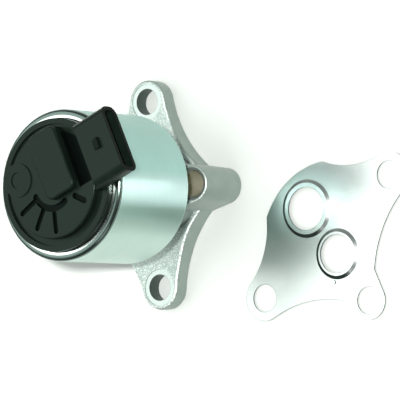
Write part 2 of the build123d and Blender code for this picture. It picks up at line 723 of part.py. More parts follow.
# Moulded cap: a foot under the can's lip, a raised rim, the plateau with its pad, grooves
# and sensor block, and the plug socket with its latch
with BuildPart() as sensor_cap:
    with BuildSketch(Plane.XZ):
        with BuildLine():
            rebate_r = PLATE_R - CAP_SEAL_W - FIT
            rebate_z = CAP_Z + CAP_SEAL_T + FIT
            ring_z = CAN_TOP + CAP_RING_H
            Polyline(
                (0, CAP_Z),
                (rebate_r, CAP_Z),
                (rebate_r, rebate_z),
                (PLATE_R, rebate_z),
                (PLATE_R, LIP_UNDERSIDE - FIT),
                (CAP_R, LIP_UNDERSIDE - FIT),
                (CAP_R, CAN_TOP + CAP_LIP_H),
                (CAP_R - CAP_LIP_W, CAN_TOP + CAP_LIP_H),
                (CAP_R - CAP_LIP_W, ring_z),
                (PLATEAU_R, ring_z),
                (PLATEAU_R, PLATEAU_Z),
                (0, PLATEAU_Z),
                close=True,
            )
        make_face()
    revolve(axis=Axis.Z)
    fillet(sensor_cap.edges().group_by(Axis.Z)[-1], CAP_EDGE_FILLET)
    with BuildSketch(plug_level(CHANNEL_Z)):
        Circle(PLATEAU_R)
        with Locations((BLOCK_FRONT, CHANNEL_RIGHT)):
            channel_align = (Align.MIN, Align.MIN)
            Rectangle(CAP_R, 2 * CAP_R, align=channel_align, mode=Mode.INTERSECT)
    extrude(amount=PLATEAU_Z - CHANNEL_Z, mode=Mode.SUBTRACT)
    with BuildSketch(Plane.XY.offset(PLATEAU_Z)):
        slot_l = RIB_SLOT_OUTER_R - RIB_SLOT_INNER_R
        slot_r = (RIB_SLOT_OUTER_R + RIB_SLOT_INNER_R) / 2
        slot_range = RIB_SLOT_COUNT * RIB_SLOT_STEP_DEG
        with PolarLocations(slot_r, RIB_SLOT_COUNT, RIB_SLOT_FIRST_DEG, slot_range):
            SlotOverall(slot_l, RIB_SLOT_W)
        with PolarLocations(SIDE_SLOT_R, 1, start_angle=SIDE_SLOT_DEG):
            SlotOverall(SIDE_SLOT_L, SIDE_SLOT_W)
        hub_line = CenterArc((0, 0), HUB_GROOVE_R, HUB_GROOVE_FIRST_DEG, HUB_GROOVE_DEG)
        SlotArc(hub_line, HUB_GROOVE_W)
    extrude(amount=-RIB_SLOT_DEPTH, mode=Mode.SUBTRACT)
    with BuildSketch(plug_level(CAN_TOP)):
        with Locations(((BLOCK_BACK + BLOCK_FRONT) / 2, (BLOCK_RIGHT + BLOCK_LEFT) / 2)):
            RectangleRounded(BLOCK_FRONT - BLOCK_BACK, BLOCK_LEFT - BLOCK_RIGHT, BLOCK_CORNER)
    extrude(amount=BLOCK_H)
    fillet(sensor_cap.edges().group_by(Axis.Z)[-1], BLOCK_FILLET)
    with BuildSketch(Plane.XY.offset(CAN_TOP)):
        with PolarLocations(PAD_RING_R, 1, start_angle=PAD_DEG):
            Circle(PAD_R)
    extrude(amount=PAD_H)
    with BuildSketch(Plane.XY.offset(CAN_TOP + PAD_H)):
        with PolarLocations(PAD_RING_R, 1, start_angle=PAD_DEG):
            Circle(PAD_DIMPLE_R)
    extrude(amount=-PAD_DIMPLE_DEPTH, mode=Mode.SUBTRACT)

    with BuildSketch(plug_section(PLUG_ROOT)):
        with Locations((PLUG_SIDE, PIN_Z)):
            RectangleRounded(PLUG_W, PLUG_H, PLUG_ROUND)
    extrude(amount=PLUG_REACH - PLUG_ROOT)
    with BuildSketch(plug_side(PLUG_SIDE)):
        with BuildLine():
            plug_top = PLUG_Z + PLUG_H
            Polyline(
                (PLUG_ROOT, plug_top),
                (PLUG_ROOT + PLUG_HEEL, plug_top),
                (PLUG_ROOT, plug_top - PLUG_HEEL_H),
                close=True,
            )
        make_face()
    extrude(amount=PLUG_W / 2, both=True, mode=Mode.SUBTRACT)
    with BuildSketch(plug_side(LATCH_SIDE)):
        with BuildLine():
            latch_face = PLUG_REACH - LATCH_BACK
            Polyline(
                (latch_face, plug_top - PLUG_WALL / 2),
                (latch_face, plug_top + LATCH_H),
                (latch_face - LATCH_L, plug_top),
                (latch_face - LATCH_L, plug_top - PLUG_WALL / 2),
                close=True,
            )
        make_face()
    extrude(amount=LATCH_W / 2, both=True)

    with BuildSketch(Plane.XY.offset(CAP_Z)):
        Circle(CAP_CAVITY_R)
    extrude(amount=CHANNEL_ROOF - CAP_Z, mode=Mode.SUBTRACT)
    with BuildSketch(plug_level(CHANNEL_ROOF)):
        Circle(CAP_CAVITY_R)
        with Locations((BLOCK_FRONT - SENSOR_WALL, 0)):
            front_align = (Align.MIN, Align.CENTER)
            Rectangle(CAP_R, 2 * CAP_R, align=front_align, mode=Mode.SUBTRACT)
    extrude(amount=CAVITY_TOP - CHANNEL_ROOF, mode=Mode.SUBTRACT)
    with BuildSketch(Plane.XY.offset(CAVITY_TOP)):
        Circle(PLUNGER_COLLAR_R)
    extrude(amount=SENSOR_SPRING_TOP - CAVITY_TOP, mode=Mode.SUBTRACT)
    with BuildSketch(plug_level(CAVITY_TOP)):
        pocket_w = BLOCK_FRONT - BLOCK_BACK - 2 * SENSOR_WALL
        pocket_right = BLOCK_RIGHT + SENSOR_WALL
        with Locations(((BLOCK_BACK + BLOCK_FRONT) / 2, (pocket_right + POCKET_LEFT) / 2)):
            RectangleRounded(pocket_w, POCKET_LEFT - pocket_right, SENSOR_WALL)
    extrude(amount=POCKET_TOP - CAVITY_TOP, mode=Mode.SUBTRACT)
    with BuildSketch(plug_section(PLUG_REACH)):
        with Locations((PLUG_SIDE, PIN_Z)):
            RectangleRounded(PLUG_W - 2 * PLUG_WALL, PLUG_H - 2 * PLUG_WALL, PLUG_ROUND - PLUG_WALL)
    extrude(amount=SOCKET_FLOOR - PLUG_REACH, mode=Mode.SUBTRACT)
    for across in pin_sides():
        with BuildSketch(plug_side(across)):
            add(pin_outline(FIT))
        extrude(amount=PIN_W / 2 + FIT, both=True, mode=Mode.SUBTRACT)
sensor_cap.part.label = "sensor_cap"
export_step(sensor_cap.part, "parts/sensor_cap.step")

# Rubber ring under the cap's foot
with BuildPart() as cap_seal:
    with BuildSketch(Plane.XY.offset(CAP_Z)):
        Circle(PLATE_R)
        Circle(PLATE_R - CAP_SEAL_W, mode=Mode.SUBTRACT)
    extrude(amount=CAP_SEAL_T)
cap_seal.part.label = "cap_seal"
export_step(cap_seal.part, "parts/cap_seal.step")

# Five bent terminals, from their tips in the socket to the sensor board
with BuildPart() as terminals:
    for across in pin_sides():
        with BuildSketch(plug_side(across)):
            add(pin_outline(0))
        extrude(amount=PIN_W / 2, both=True)
terminals.part.label = "terminals"
export_step(terminals.part, "parts/terminals.step")

# Guide on the upper pole: a round foot and a slotted tube for the plunger's collar
with BuildPart() as plunger_guide:
    with BuildSketch(Plane.XY.offset(CAP_Z)):
        Circle(GUIDE_R)
    extrude(amount=GUIDE_T)
    with BuildSketch(Plane.XY.offset(CAP_Z + GUIDE_T)):
        Circle(PLUNGER_COLLAR_R + RUNNING_GAP + GUIDE_TUBE_T)
    extrude(amount=GUIDE_TUBE_H)
    with Locations((0, 0, CAP_Z + GUIDE_T + GUIDE_TUBE_H)):
        Hole(PLUNGER_COLLAR_R + RUNNING_GAP, depth=GUIDE_T + GUIDE_TUBE_H)
    with BuildSketch(plug_level(CAP_Z + GUIDE_T)):
        with Locations((GUIDE_R / 2, 0)):
            Rectangle(GUIDE_R, GUIDE_SLOT_W)
    extrude(amount=GUIDE_TUBE_H, mode=Mode.SUBTRACT)
plunger_guide.part.label = "plunger_guide"
export_step(plunger_guide.part, "parts/plunger_guide.step")

# Plunger that follows the shaft's end: a tip, a collar in the guide and a stem
with BuildPart() as sensor_plunger:
    with BuildSketch(Plane.XZ):
        with BuildLine():
            tip_z = SHAFT_TOP + PLUNGER_GAP
            Polyline(
                (0, tip_z),
                (PLUNGER_R, tip_z),
                (PLUNGER_R, COLLAR_Z),
                (PLUNGER_COLLAR_R, COLLAR_Z),
                (PLUNGER_COLLAR_R, COLLAR_Z + PLUNGER_COLLAR_T),
                (PLUNGER_STEM_R, COLLAR_Z + PLUNGER_COLLAR_T),
                (PLUNGER_STEM_R, tip_z + PLUNGER_L),
                (0, tip_z + PLUNGER_L),
                close=True,
            )
        make_face()
    revolve(axis=Axis.Z)
sensor_plunger.part.label = "sensor_plunger"
export_step(sensor_plunger.part, "parts/sensor_plunger.step")

# Wiper clipped round the plunger's stem, with an arm and a tab that faces the board
with BuildPart() as wiper:
    with BuildSketch(plug_level(WIPER_Z)):
        wiper_reach = BOARD_REACH - BOARD_T - BOARD_GAP
        Circle(WIPER_RING_R)
        with Locations((wiper_reach / 2, 0)):
            Rectangle(wiper_reach, WIPER_W)
        Circle(PLUNGER_STEM_R + FIT, mode=Mode.SUBTRACT)
    extrude(amount=WIPER_T)
    with BuildSketch(plug_level(WIPER_Z)):
        with Locations((wiper_reach - WIPER_T / 2, 0)):
            Rectangle(WIPER_T, WIPER_W)
    extrude(amount=WIPER_TAB)
wiper.part.label = "wiper"
export_step(wiper.part, "parts/wiper.step")

# Circuit board that stands between the wiper and the terminals
with BuildPart() as sensor_board:
    with BuildSketch(plug_section(BOARD_REACH)):
        with Locations((PLUG_SIDE, CAVITY_TOP - FIT)):
            Rectangle(BOARD_W, BOARD_H, align=(Align.CENTER, Align.MAX))
    extrude(amount=-BOARD_T)
sensor_board.part.label = "sensor_board"
export_step(sensor_board.part, "parts/sensor_board.step")

# Light spring that holds the plunger on the shaft
with BuildPart() as sensor_spring:
    with BuildLine():
        spring_z = WIPER_Z + WIPER_T + FIT + SENSOR_SPRING_WIRE_D / 2
        spring_h = SENSOR_SPRING_TOP - FIT - SENSOR_SPRING_WIRE_D / 2 - spring_z
        fine_wire = Helix(spring_h / SENSOR_SPRING_TURNS, spring_h, SENSOR_SPRING_R, (0, 0, spring_z))
    with BuildSketch(Plane(origin=fine_wire @ 0, z_dir=fine_wire % 0)):
        RegularPolygon(SENSOR_SPRING_WIRE_D / 2, WIRE_SIDES)
    sweep(is_frenet=True)
sensor_spring.part.label = "sensor_spring"
export_step(sensor_spring.part, "parts/sensor_spring.step")

# Two pins that carry the current from the outer terminals down to the coil
with BuildPart() as coil_terminals:
    with BuildSketch(plug_level(UPPER_POLE_Z)):
        with coil_pin_places():
            Circle(COIL_PIN_D / 2)
    extrude(amount=PIN_LOW_Z - PIN_T / 2 - UPPER_POLE_Z)
coil_terminals.part.label = "coil_terminals"
export_step(coil_terminals.part, "parts/coil_terminals.step")

# Sheet-metal gasket to the flange's outline, with a bead round each port
gasket_along = Vector(cos(radians(GASKET_TURN)), sin(radians(GASKET_TURN)), 0)
gasket_flat = Plane(origin=(GASKET_X, GASKET_Y, 0), x_dir=gasket_along)
gasket_upright = Plane(origin=gasket_flat.origin, x_dir=gasket_along, z_dir=-gasket_flat.y_dir)
with BuildPart() as flange_gasket:
    with BuildSketch(gasket_flat):
        add(flange_plan(margin=GASKET_MARGIN))
        Circle(INLET_BEAD_R, mode=Mode.SUBTRACT)
        with Locations((OUTLET_X, 0)):
            Circle(OUTLET_BEAD_R, mode=Mode.SUBTRACT)
        with Locations(
            (BOSS_X, 0), (BOLT_LINE_X, BOLT_SPACING / 2), (BOLT_LINE_X, -BOLT_SPACING / 2)
        ):
            Circle(GASKET_HOLE_D / 2, mode=Mode.SUBTRACT)
    extrude(amount=GASKET_T)
    with BuildSketch(gasket_upright):
        add(bead_ring(INLET_D / 2, INLET_BEAD_R))
    revolve(axis=Axis(gasket_flat.origin, (0, 0, 1)))
    with BuildSketch(gasket_upright):
        with Locations((OUTLET_X, 0)):
            add(bead_ring(OUTLET_D / 2, OUTLET_BEAD_R))
    revolve(axis=Axis(gasket_flat.from_local_coords((OUTLET_X, 0, 0)), (0, 0, 1)))
    with BuildSketch(gasket_flat.offset(GASKET_T)):
        with PolarLocations(NUB_RING_R, 1, start_angle=NUB_DEG):
            Circle(NUB_R)
    extrude(amount=NUB_H)
flange_gasket.part.label = "flange_gasket"
export_step(flange_gasket.part, "parts/flange_gasket.step")
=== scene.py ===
from math import radians

import bpy
import numpy as np
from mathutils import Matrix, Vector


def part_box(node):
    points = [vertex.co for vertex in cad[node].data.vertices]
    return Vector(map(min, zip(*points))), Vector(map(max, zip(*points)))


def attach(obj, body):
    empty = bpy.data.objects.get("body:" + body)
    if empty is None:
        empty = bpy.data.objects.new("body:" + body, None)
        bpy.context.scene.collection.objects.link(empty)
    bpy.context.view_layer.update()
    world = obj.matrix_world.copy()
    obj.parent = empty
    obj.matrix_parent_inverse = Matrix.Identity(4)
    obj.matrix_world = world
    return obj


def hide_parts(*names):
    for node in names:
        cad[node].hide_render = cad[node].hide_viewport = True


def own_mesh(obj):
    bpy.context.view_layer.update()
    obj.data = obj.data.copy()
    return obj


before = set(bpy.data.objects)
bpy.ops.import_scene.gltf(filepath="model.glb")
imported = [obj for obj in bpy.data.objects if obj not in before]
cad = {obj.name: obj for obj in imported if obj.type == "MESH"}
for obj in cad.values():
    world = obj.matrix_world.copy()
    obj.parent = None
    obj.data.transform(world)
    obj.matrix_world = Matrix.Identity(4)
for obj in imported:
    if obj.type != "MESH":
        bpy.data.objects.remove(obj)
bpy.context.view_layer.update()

scene = bpy.context.scene


# The view: a long lens, high over the side with the boss, rolled so that +X runs to the right
# of the picture and the valve's axis to the left.
camera = bpy.data.objects.new("camera", bpy.data.cameras.new("camera"))
camera.location = (0.72934, -0.12204, 0.98531)
camera.rotation_euler = [radians(turn) for turn in (2.5971, 36.4763, -4.9762)]
camera.data.lens = 324
camera.data.sensor_width = 36
scene.collection.objects.link(camera)
scene.camera = camera
scene.view_settings.view_transform = "Standard"


# The stage: a wide sheet of matt white paper on a table, in a white room with three softboxes.
# The paper takes soft shadows, and a painted shadow darkens it a little to the eye where a piece
# stands close over it. To the eye and in reflections it is brighter than its shade, so that the
# metal shows a white room.
def linear(colour):
    """A #RRGGBB colour as the linear values of a colour socket."""
    channels = np.array([int(colour[at : at + 2], 16) for at in (1, 3, 5)]) / 255
    low, high = channels / 12.92, ((channels + 0.055) / 1.055) ** 2.4
    return (*np.where(channels <= 0.04045, low, high), 1.0)


def node(tree, kind, *values, output=None, **settings):
    """Adds one node with its settings and returns one of its outputs: the first in use, or the
    one named. The values go to the inputs in use, in their order: a number, a triple, a
    #RRGGBB colour, a socket to link, or None to leave an input as it is."""
    made = tree.nodes.new("ShaderNode" + kind)
    for name, setting in settings.items():
        setattr(made, name, setting)
    inputs = [socket for socket in made.inputs if socket.enabled]
    for socket, value in zip(inputs, values):
        if isinstance(value, bpy.types.NodeSocket):
            tree.links.new(value, socket)
        elif value is not None:
            socket.default_value = linear(value) if isinstance(value, str) else value
    if output:
        return made.outputs[output]
    return next(socket for socket in made.outputs if socket.enabled)


def new_material(name):
    """A fresh material with its node tree and its Principled shader."""
    made = bpy.data.materials.new(name)
    made.use_nodes = True
    return made, made.node_tree, made.node_tree.nodes["Principled BSDF"]


paper, tree, shader = new_material("white_paper")
seen = node(tree, "LightPath", output="Is Camera Ray")
mirrored = node(tree, "LightPath", output="Is Glossy Ray")
seen_lift, mirrored_lift = 0.06, 0.42
lift = node(tree, "Math", seen, seen_lift, operation="MULTIPLY")
lift = node(tree, "Math", mirrored, mirrored_lift, lift, operation="MULTIPLY_ADD")
glow = node(tree, "Emission", "#FCFFFB", lift)
lit = node(tree, "AddShader", glow, node(tree, "BsdfDiffuse", "#C9CCC8"))
shadow_reach = 0.05
# Painted shadow: to the eye, the paper is mixed towards black where a piece stands close over it
open_air = node(tree, "AmbientOcclusion", None, shadow_reach, output="AO", samples=16)
painted_contact_shadow = node(tree, "MapRange", open_air, 0.55, 0.95, 0.2, 0)
painted_contact_shadow = node(tree, "Math", seen, painted_contact_shadow, operation="MULTIPLY")
shaded = node(tree, "MixShader", painted_contact_shadow, lit, node(tree, "Emission", "#000000", 0))
tree.links.new(shaded, tree.nodes["Material Output"].inputs["Surface"])
tree.nodes.remove(shader)

floor_half = 6.0
floor_z = -0.0004  # just clear of the gasket and the mounting face
floor_mesh = bpy.data.meshes.new("paper")
floor_corners = [(-1, -1), (1, -1), (1, 1), (-1, 1)]
floor_points = [(x * floor_half, y * floor_half, floor_z) for x, y in floor_corners]
floor_mesh.from_pydata(floor_points, [], [(0, 1, 2, 3)])
floor_mesh.materials.append(paper)
floor = bpy.data.objects.new("paper", floor_mesh)
scene.collection.objects.link(floor)

# The room: white and dim, with a bright patch of ceiling that leans towards -X
room = bpy.data.worlds.new("white_room")
room.use_nodes = True
tree = room.node_tree
bright_way = (-0.57, 0.1, 0.816)
outlook = node(tree, "TexCoord", output="Generated")
outlook = node(tree, "VectorMath", outlook, bright_way, operation="DOT_PRODUCT")
room_light = tree.nodes["Background"]
room_light.inputs["Color"].default_value = linear("#F4FFFB")
tree.links.new(node(tree, "MapRange", outlook, 0.7, 0.97, 0.15, 1.2), room_light.inputs["Strength"])
scene.world = room


def softbox(name, place, aim, size, power):
    """A square lamp at a place, turned to face the aim."""
    lamp = bpy.data.lights.new(name, "AREA")
    lamp.size = size
    lamp.energy = power
    made = bpy.data.objects.new(name, lamp)
    made.location = place
    direction = made.location.copy()
    direction.xyz = np.subtract(place, aim)
    made.rotation_euler = direction.to_track_quat("Z", "Y").to_euler()
    scene.collection.objects.link(made)


softbox("ceiling_lamp", place=(-0.75, 0.33, 1.1), aim=(0.03, 0, 0.02), size=1.1, power=5)
softbox("key_lamp", place=(0.653, -0.063, 1.04), aim=(0, 0, 0.02), size=0.05, power=23)
softbox("side_lamp", place=(0.15, -0.8, 0.8), aim=(0, 0, 0.04), size=0.4, power=1)


# The casting: cast iron, sand-cast in one piece, machined on the bolt faces and thinly zinc
# plated. The mould's grit shows all over. The faces that look up are painted lighter than the
# flanks, with painted glints in their grit, and the sloping edges carry a painted highlight. The
# ear holes are as-cast and painted dark as shade, and the boss's deep bore is bare iron that oil
# and heat have browned.
def dress(piece, look):
    """Gives a piece one material in place of whatever it had."""
    piece.data.materials.clear()
    piece.data.materials.append(look)


def grain(tree, size, stretch=(1, 1, 1), detail=3):
    """Noise with grains of this many millimetres. A stretch under 1 draws them out that way."""
    place = node(tree, "TexCoord", output="Object")
    place = node(tree, "Mapping", place, None, None, stretch)
    return node(tree, "TexNoise", place, 1000 / size, detail)


def height(tree):
    """The height above the mounting face in metres."""
    return node(tree, "SeparateXYZ", node(tree, "TexCoord", output="Object"), output="Z")


def off_axis(tree, x, y):
    """The distance in metres from the upright axis through x and y."""
    place = node(tree, "TexCoord", output="Object")
    away = node(tree, "VectorMath", place, (x, y, 0), operation="SUBTRACT")
    away = node(tree, "VectorMath", away, (1, 1, 0), operation="MULTIPLY")
    return node(tree, "VectorMath", away, operation="LENGTH")


def finish(tree, shader, colour, roughness, metallic, relief, depth, strength):
    """Sets a surface's colour, roughness and metallic value, and raises it by a relief to this
    depth in millimetres."""
    tree.links.new(colour, shader.inputs["Base Color"])
    if isinstance(roughness, bpy.types.NodeSocket):
        tree.links.new(roughness, shader.inputs["Roughness"])
    else:
        shader.inputs["Roughness"].default_value = roughness
    shader.inputs["Metallic"].default_value = metallic
    raised = node(tree, "Bump", strength, depth / 1000, None, relief)
    tree.links.new(raised, shader.inputs["Normal"])


cast_iron, tree, shader = new_material("zinc_plated_cast_iron")
surface = node(tree, "NewGeometry", output="Normal")
upright = node(tree, "SeparateXYZ", surface, output="Z")
level = node(tree, "MapRange", upright, 0.6, 0.9)

# Moulding sand is 0.2 to 0.3 mm, and is drawn twice as coarse so that it shows
sand = grain(tree, 0.6)
# Painted light: the faces that look up are drawn lighter than the flanks, and only they carry the
# grit's bright speckle, as painted glints
flank = node(tree, "Mix", grain(tree, 8, detail=4), "#75817A", "#8B9790", data_type="RGBA")
top = node(tree, "Mix", grain(tree, 5, detail=4), "#92A099", "#B2BFB9", data_type="RGBA")
tone = node(tree, "Mix", level, flank, top, data_type="RGBA")
grit_and_glints = node(tree, "MapRange", grain(tree, 0.45, detail=1), 0.5, 0.64, 0, 0.5)
grit_and_glints = node(tree, "Math", grit_and_glints, level, operation="MULTIPLY")
tone = node(tree, "Mix", grit_and_glints, tone, "#EEF5F2", data_type="RGBA")

# Painted highlight on the edges that slope towards -Y, broken up by the grit
off_upright = node(tree, "MapRange", upright, 0.95, 0.99, 1, 0)
sloping = node(tree, "MapRange", upright, 0.5, 0.7)
sloping = node(tree, "Math", sloping, off_upright, operation="MULTIPLY")
leaning = node(tree, "SeparateXYZ", surface, output="Y")
leaning = node(tree, "MapRange", leaning, -0.2, 0.3, 1, 0.2)
sloping = node(tree, "Math", sloping, leaning, operation="MULTIPLY")
grit = node(tree, "MapRange", sand, 0.42, 0.6)
painted_edge_highlight = node(tree, "Math", sloping, grit, operation="MULTIPLY")
tone = node(tree, "Mix", painted_edge_highlight, tone, "#F4F9F6", data_type="RGBA")

# The ears: a spot face of 12.4 mm, scraped brighter, round a 9 mm hole painted dark as shade
ear_x, ear_y = -0.0072, 0.032
spot_face_r = 0.0062
ear_hole_r = 0.0045
for side in (1, -1):
    from_hole = off_axis(tree, ear_x, side * ear_y)
    faced = node(tree, "MapRange", from_hole, spot_face_r - 0.0004, spot_face_r + 0.0004, 0.6, 0)
    faced = node(tree, "Math", faced, level, operation="MULTIPLY")
    tone = node(tree, "Mix", faced, tone, "#CBD6D1", data_type="RGBA")
    # Painted shade: the hole's wall is drawn dark
    painted_recess_shade = node(tree, "MapRange", from_hole, ear_hole_r + 0.00002, ear_hole_r + 0.00006, 1, 0)
    tone = node(tree, "Mix", painted_recess_shade, tone, "#3E4A46", data_type="RGBA")

# The boss: a browned bore of 8.5 mm, and an end face machined to bare metal
boss_x, boss_end_z = 0.02, 0.019
boss_bore_r = 0.00425
boss_end_r = 0.0055
from_boss = off_axis(tree, boss_x, 0)
browned = node(tree, "Mix", grain(tree, 2, (1, 1, 0.3)), "#B4B19A", "#CCC9B3", data_type="RGBA")
in_bore = node(tree, "MapRange", from_boss, boss_bore_r + 0.00003, boss_bore_r + 0.00009, 1, 0)
tone = node(tree, "Mix", in_bore, tone, browned, data_type="RGBA")
end_face = node(tree, "MapRange", from_boss, boss_end_r - 0.0001, boss_end_r + 0.0001, 1, 0)
at_end = node(tree, "MapRange", height(tree), boss_end_z, boss_end_z + 0.0001)
end_face = node(tree, "Math", end_face, at_end, operation="MULTIPLY")
tone = node(tree, "Mix", end_face, tone, "#8E938C", data_type="RGBA")
rough = node(tree, "MapRange", sand, 0.3, 0.7, 0.46, 0.6)
polished = node(tree, "MapRange", end_face, 0, 1, 1, 0.2)
rough = node(tree, "Math", rough, polished, operation="MULTIPLY")
finish(tree, shader, tone, rough, metallic=0.7, relief=sand, depth=0.12, strength=0.6)
dress(cad["valve_base"], cast_iron)


# The can: mild steel, deep-drawn to a cup, turned bright and zinc plated. Three screws hold its
# floor to the casting, and its lip is rolled in over the cap.
def revolve(name, outline, facets=256):
    """A closed outline of (radius, height) points carried round Z: each point (r, z) of the
    outline becomes the circle (r cos a, r sin a, z)."""
    outline = np.asarray(outline, float)
    angle = np.linspace(0, 2 * np.pi, facets, endpoint=False)
    radius, height = outline[:, 0], outline[:, 1]
    across, along = np.outer(np.cos(angle), radius), np.outer(np.sin(angle), radius)
    rings = np.stack([across, along, np.tile(height, (facets, 1))], axis=-1)
    count = len(outline)
    turn, step = np.meshgrid(np.arange(facets), np.arange(count), indexing="ij")
    next_turn, next_step = (turn + 1) % facets, (step + 1) % count
    corners = [(turn, step), (next_turn, step), (next_turn, next_step), (turn, next_step)]
    quads = np.stack([at_turn * count + at_step for at_turn, at_step in corners], axis=-1)
    mesh = bpy.data.meshes.new(name)
    mesh.from_pydata(rings.reshape(-1, 3).tolist(), [], quads.reshape(-1, 4).tolist())
    mesh.polygons.foreach_set("use_smooth", np.ones(len(mesh.polygons), bool))
    mesh.set_sharp_from_angle(angle=radians(35))
    made = bpy.data.objects.new(name, mesh)
    scene.collection.objects.link(made)
    return made


def arc(centre, radius, start, end, steps=10):
    """Points on a circle in the outline's plane, from one angle in degrees to another."""
    angle = np.radians(np.linspace(start, end, steps))
    across, up = centre[0] + radius * np.cos(angle), centre[1] + radius * np.sin(angle)
    return np.stack([across, up], axis=-1)


can_low, can_high = (np.array(corner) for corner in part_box("solenoid_can"))
can_r, can_foot_z, can_top_z = can_high[0], can_low[2], can_high[2]
can_wall = 0.0014
can_floor = 0.0015
can_hole_r = 0.00935
foot_round = 0.002
lip_round = 0.0014
lip_inner_r = 0.0222
lip_thickness = 0.0015
can_outline = np.concatenate(
    [
        [(can_hole_r, can_foot_z)],
        arc((can_r - foot_round, can_foot_z + foot_round), foot_round, -90, 0),
        arc((can_r - lip_round, can_top_z - lip_round), lip_round, 0, 90),
        [
            (lip_inner_r, can_top_z),
            (lip_inner_r, can_top_z - lip_thickness),
            (can_r - can_wall, can_top_z - lip_thickness),
            (can_r - can_wall, can_foot_z + can_floor),
            (can_hole_r, can_foot_z + can_floor),
        ],
    ]
)
can = revolve("can_shell", can_outline)

# Plated steel with faint turning lines round it: 0.1 mm apart in truth, and drawn coarser. Bands
# of painted light run down the can: a painted dark reflection, a painted highlight along the
# bright streak, and a paler painted band at the side. Each band has the way it faces, how far out
# that way it starts and is full, its share and its tone
plated_steel, tree, shader = new_material("zinc_plated_drawn_steel")
turned = grain(tree, 0.35, (0.02, 0.02, 1), detail=4)
tone = node(tree, "Mix", grain(tree, 14), "#89A8A1", "#98B6B0", data_type="RGBA")
painted_light_bands = [
    ((0.870, -0.493, 0), 0.0239, 0.0249, 0.6, "#72887E"),
    ((0.989, -0.148, 0), 0.0242, 0.0250, 0.9, "#A0B3B1"),
    ((0.259, -0.966, 0), 0.0170, 0.0235, 0.45, "#CAD6CC"),
]
for way, start, full, share, painted_band_tone in painted_light_bands:
    painted_band = node(tree, "TexCoord", output="Object")
    painted_band = node(tree, "VectorMath", painted_band, way, operation="DOT_PRODUCT")
    painted_band = node(tree, "MapRange", painted_band, start, full, 0, share)
    tone = node(tree, "Mix", painted_band, tone, painted_band_tone, data_type="RGBA")

# The rolled lip: a painted dark reflection over it, and a painted highlight at its inner edge
rolled_z = 0.0639  # the lip's underside
painted_lip_shade = node(tree, "MapRange", height(tree), rolled_z, rolled_z + 0.0003)
tone = node(tree, "Mix", painted_lip_shade, tone, "#5C6A65", data_type="RGBA")
from_axis = off_axis(tree, 0, 0)
painted_lip_highlight = node(tree, "MapRange", from_axis, lip_inner_r + 0.00065, lip_inner_r + 0.0009, 1, 0)
near_top = node(tree, "MapRange", height(tree), rolled_z - 0.0007, rolled_z - 0.0003)
painted_lip_highlight = node(tree, "Math", painted_lip_highlight, near_top, operation="MULTIPLY")
tone = node(tree, "Mix", painted_lip_highlight, tone, "#F4FBF8", data_type="RGBA")
rough = node(tree, "MapRange", turned, 0.3, 0.7, 0.38, 0.47)
smoothed = node(tree, "MapRange", height(tree), rolled_z - 0.0003, rolled_z + 0.0003, 1, 0.45)
rough = node(tree, "Math", rough, smoothed, operation="MULTIPLY")
finish(tree, shader, tone, rough, metallic=1.0, relief=turned, depth=0.06, strength=0.25)
shader.inputs["Anisotropic"].default_value = 0.7
shader.inputs["Anisotropic Rotation"].default_value = 0.25
tree.links.new(node(tree, "Tangent", direction_type="RADIAL", axis="Z"), shader.inputs["Tangent"])
dress(can, plated_steel)
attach(can, "valve")
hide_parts("solenoid_can")

# The cap: glass-filled nylon, injection moulded in black with its plug socket, and held under
# the can's lip. The mould's spark-eroded grain, 0.05 mm in truth, is drawn coarser and gives a
# soft sheen, which the recesses and the socket's mouth don't have. These are also painted darker,
# as shade.
black_nylon, tree, shader = new_material("moulded_black_nylon")
haze = grain(tree, 6)
tone = node(tree, "Mix", haze, "#0B120F", "#141D18", data_type="RGBA")
plateau_z, plateau_r = 0.0697, 0.0178
sunk = node(tree, "MapRange", height(tree), plateau_z - 0.0003, plateau_z - 0.00015, 1, 0)
from_axis = off_axis(tree, 0, 0)
inside = node(tree, "MapRange", from_axis, plateau_r - 0.0002, plateau_r - 0.00005, 1, 0)
sunk = node(tree, "Math", sunk, inside, operation="MULTIPLY")
plug_way = (0.9397, 0.342, 0)
plug_reach = 0.0313
mouth = node(tree, "TexCoord", output="Object")
mouth = node(tree, "VectorMath", mouth, plug_way, operation="DOT_PRODUCT")
mouth = node(tree, "MapRange", mouth, plug_reach - 0.00008, plug_reach - 0.00002)
# Painted shade: the recesses and the socket's mouth are drawn darker
painted_recess_shade = node(tree, "Math", sunk, mouth, operation="MAXIMUM")
tone = node(tree, "Mix", painted_recess_shade, tone, "#060A08", data_type="RGBA")
rough = node(tree, "MapRange", haze, 0.35, 0.65, 0.26, 0.38)
eroded = grain(tree, 0.35, detail=2)
finish(tree, shader, tone, rough, metallic=0.0, relief=eroded, depth=0.03, strength=0.35)
sheen = node(tree, "MapRange", painted_recess_shade, 0, 1, 0.12, 0.03)
tree.links.new(sheen, shader.inputs["Specular IOR Level"])
shader.inputs["Specular Tint"].default_value = linear("#E0FFF0")
dress(cad["sensor_cap"], black_nylon)

# The gasket: stainless sheet of 0.4 mm, rolled bright, blanked to the flange's outline, with a
# bead pressed round each port. It lies loose and a hair out of level. The beads' slopes carry
# painted shade to one side and a painted highlight to the other, one end is painted darker as a
# reflection of the can, and the cut edges are darkened, partly for their burr and partly as
# painted shade.
stainless, tree, shader = new_material("rolled_stainless_sheet")
rolled = grain(tree, 0.5, (0.08, 1, 1))
tone = node(tree, "Mix", grain(tree, 12), "#D2D7D4", "#E0E4E2", data_type="RGBA")
# Painted reflection: one end is darkened where the can shows in the sheet
reflection_x, reflection_y = 0.037, -0.033
painted_can_reflection = node(tree, "MapRange", off_axis(tree, reflection_x, reflection_y), 0.006, 0.034, 0.65, 0)
tone = node(tree, "Mix", painted_can_reflection, tone, "#7E8682", data_type="RGBA")
